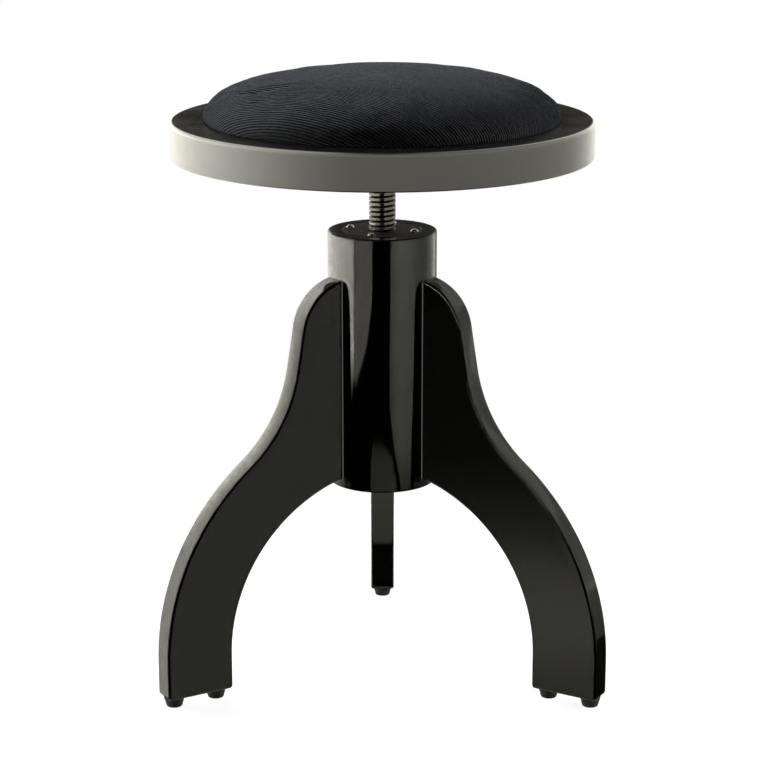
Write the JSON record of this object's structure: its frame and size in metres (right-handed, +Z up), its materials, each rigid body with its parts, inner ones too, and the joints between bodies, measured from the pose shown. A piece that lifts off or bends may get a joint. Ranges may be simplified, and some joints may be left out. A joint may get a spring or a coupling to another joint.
{
  "type": "revolving piano stool",
  "caption": "Revolving piano stool: a round corduroy seat that turns on a coarse screw to change its height, on a turned column with three curved legs.",
  "frame": {"origin": "on the floor, below the column's axis, about which the seat turns", "axes": "+Z up along the screw, +Y outward along the rear leg, +X to the right as seen from the front"},
  "size_m": [0.3852, 0.396, 0.5365],
  "materials": {
    "black_lacquer": "gloss black lacquer",
    "dark_wood": "dark stain",
    "beech": "plain",
    "plywood": "plain plywood",
    "black_steel": "satin black",
    "bright_steel": "bright turned",
    "nickel": "nickel plated",
    "zinc": "zinc plated",
    "rubber": "matt black",
    "foam": "open foam",
    "corduroy": "black fine-rib corduroy"
  },
  "bodies": {
    "base": {"column": "black_lacquer", "bottom_plug": "dark_wood", "nut_flange": "black_steel", "nut_flange_screws": "nickel", "leg_left": "black_lacquer", "leg_right": "black_lacquer", "leg_rear": "black_lacquer", "dowels_left": "beech", "dowels_right": "beech", "dowels_rear": "beech", "glides_left": "rubber", "glides_right": "rubber", "glides_rear": "rubber", "glide_nails": "zinc"},
    "lift": {"stop_washer": "zinc"},
    "seat": {"spindle": "bright_steel", "stop_bolt": "zinc", "seat_flange": "black_steel", "seat_flange_screws": "zinc", "seat_board": "black_lacquer", "pad_base": "plywood", "pad_foam": "foam", "pad_cover": "corduroy", "cover_staples": "zinc", "pad_screws": "zinc"}
  },
  "joints": [
    {"name": "seat_lift", "type": "slide", "parent": "base", "child": "lift", "axis": [0, 0, 1], "range_m": [-0.0553, 0.0511]},
    {"name": "seat_spin", "type": "hinge", "parent": "lift", "child": "seat", "pos_m": [0, 0, 0.396], "axis": [0, 0, 1], "range_deg": [-4680, 4320]}
  ],
  "couplings": [
    {"joint": "seat_lift", "follows": "seat_spin", "m_per_rad": 0.00067641}
  ]
}
